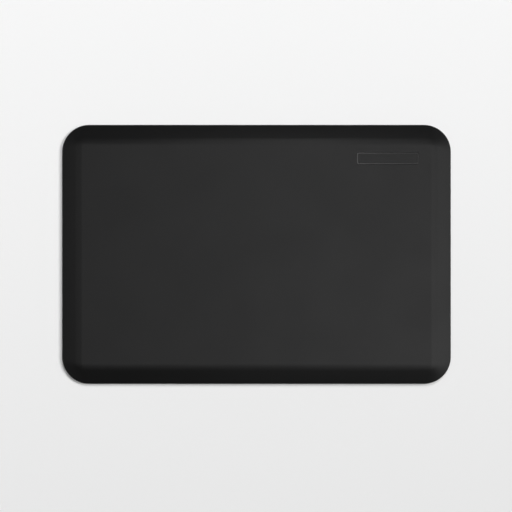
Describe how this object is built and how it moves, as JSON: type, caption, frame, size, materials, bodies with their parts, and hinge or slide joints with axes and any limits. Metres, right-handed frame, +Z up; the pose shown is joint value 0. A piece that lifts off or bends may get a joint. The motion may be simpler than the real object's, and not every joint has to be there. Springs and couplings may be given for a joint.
{
  "type": "anti fatigue mat",
  "caption": "Rectangular cushioned standing mat: a smooth matte tread with rounded corners and a bevelled edge all round, over a foam core and a grip base.",
  "frame": {"origin": "middle of the underside, on the floor plane", "axes": "+X to the right along the long side, +Y to the back, +Z up out of the tread"},
  "size_m": [0.9144, 0.6096, 0.019],
  "materials": {
    "cover_polyurethane": "matte, fine moulded grain",
    "core_foam": "closed-cell foam, dull",
    "base_rubber": "matte, knurled grip"
  },
  "bodies": {
    "root": {"top_cover": "cover_polyurethane", "foam_core": "core_foam", "grip_base": "base_rubber"}
  },
  "joints": []
}
